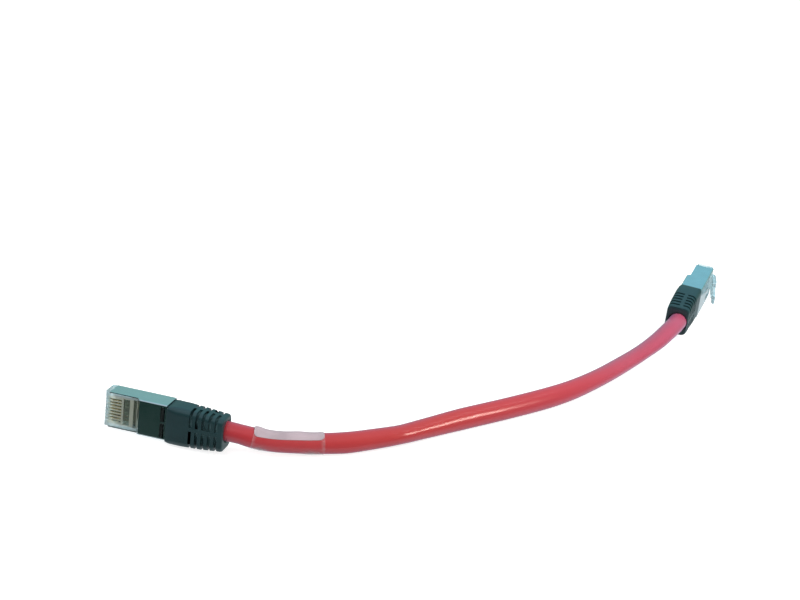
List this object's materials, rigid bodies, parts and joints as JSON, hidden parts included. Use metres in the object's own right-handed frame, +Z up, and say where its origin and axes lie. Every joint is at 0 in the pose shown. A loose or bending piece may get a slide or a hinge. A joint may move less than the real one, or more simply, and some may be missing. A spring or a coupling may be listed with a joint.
{
  "type": "ethernet patch cable",
  "caption": "Short shielded network patch cable: red round jacket with a clear wrap label, a clear latching plug in a metal shell and a dark ribbed boot at each end.",
  "frame": {"origin": "middle of the footprint of the two plugs with their boots, on the surface the cable lies on", "axes": "+X to the right from plug A towards plug B, along the longest extent; +Y away from the bulge of the cable; +Z up"},
  "size_m": [0.2112, 0.1408, 0.0137],
  "materials": {
    "clear_plastic": "clear moulded polycarbonate, slightly blue-green at the edges",
    "latch_plastic": "clear moulded polycarbonate",
    "load_bar": "translucent moulded plastic",
    "foil": "thin wrapped foil",
    "nickel_shell": "bright nickel-plated sheet",
    "gold_contact": "gold-plated, polished",
    "boot": "soft moulded vinyl, near-black with a green-blue cast, satin",
    "jacket": "extruded vinyl, smooth with a soft sheen",
    "label_panel": "blank printable vinyl, matt",
    "label_film": "clear laminating film",
    "wire_white_orange": "white insulation with an orange tint",
    "wire_orange": "orange insulation",
    "wire_white_green": "white insulation with a green tint",
    "wire_blue": "blue insulation",
    "wire_white_blue": "white insulation with a blue tint",
    "wire_green": "green insulation",
    "wire_white_brown": "white insulation with a brown tint",
    "wire_brown": "brown insulation"
  },
  "bodies": {
    "cable": {"plug_a_body": "clear_plastic", "plug_a_load_bar": "load_bar", "plug_a_wire_pairs": "foil", "plug_a_shell": "nickel_shell", "plug_a_boot": "boot", "plug_a_contact_1": "gold_contact", "plug_a_contact_2": "gold_contact", "plug_a_contact_3": "gold_contact", "plug_a_contact_4": "gold_contact", "plug_a_contact_5": "gold_contact", "plug_a_contact_6": "gold_contact", "plug_a_contact_7": "gold_contact", "plug_a_contact_8": "gold_contact", "plug_a_wire_1": "wire_white_orange", "plug_a_wire_2": "wire_orange", "plug_a_wire_3": "wire_white_green", "plug_a_wire_4": "wire_blue", "plug_a_wire_5": "wire_white_blue", "plug_a_wire_6": "wire_green", "plug_a_wire_7": "wire_white_brown", "plug_a_wire_8": "wire_brown", "plug_b_body": "clear_plastic", "plug_b_load_bar": "load_bar", "plug_b_wire_pairs": "foil", "plug_b_shell": "nickel_shell", "plug_b_boot": "boot", "plug_b_contact_1": "gold_contact", "plug_b_contact_2": "gold_contact", "plug_b_contact_3": "gold_contact", "plug_b_contact_4": "gold_contact", "plug_b_contact_5": "gold_contact", "plug_b_contact_6": "gold_contact", "plug_b_contact_7": "gold_contact", "plug_b_contact_8": "gold_contact", "plug_b_wire_1": "wire_white_orange", "plug_b_wire_2": "wire_orange", "plug_b_wire_3": "wire_white_green", "plug_b_wire_4": "wire_blue", "plug_b_wire_5": "wire_white_blue", "plug_b_wire_6": "wire_green", "plug_b_wire_7": "wire_white_brown", "plug_b_wire_8": "wire_brown", "jacket": "jacket", "label_panel": "label_panel", "label_film": "label_film"},
    "latch_a": {"plug_a_latch": "latch_plastic"},
    "latch_b": {"plug_b_latch": "latch_plastic"}
  },
  "joints": [
    {"name": "latch_a_flex", "type": "hinge", "parent": "cable", "child": "latch_a", "pos_m": [-0.10263, -0.05151, 0.00641], "axis": [0.042, 0.1685, 0.9848], "range_deg": [-12, 0], "stiffness_Nm_per_rad": 0.2},
    {"name": "latch_b_flex", "type": "hinge", "parent": "cable", "child": "latch_b", "pos_m": [0.10498, 0.06692, 0.0061], "axis": [0.0163, -0.0061, 0.9998], "range_deg": [-12, 0], "stiffness_Nm_per_rad": 0.2}
  ]
}
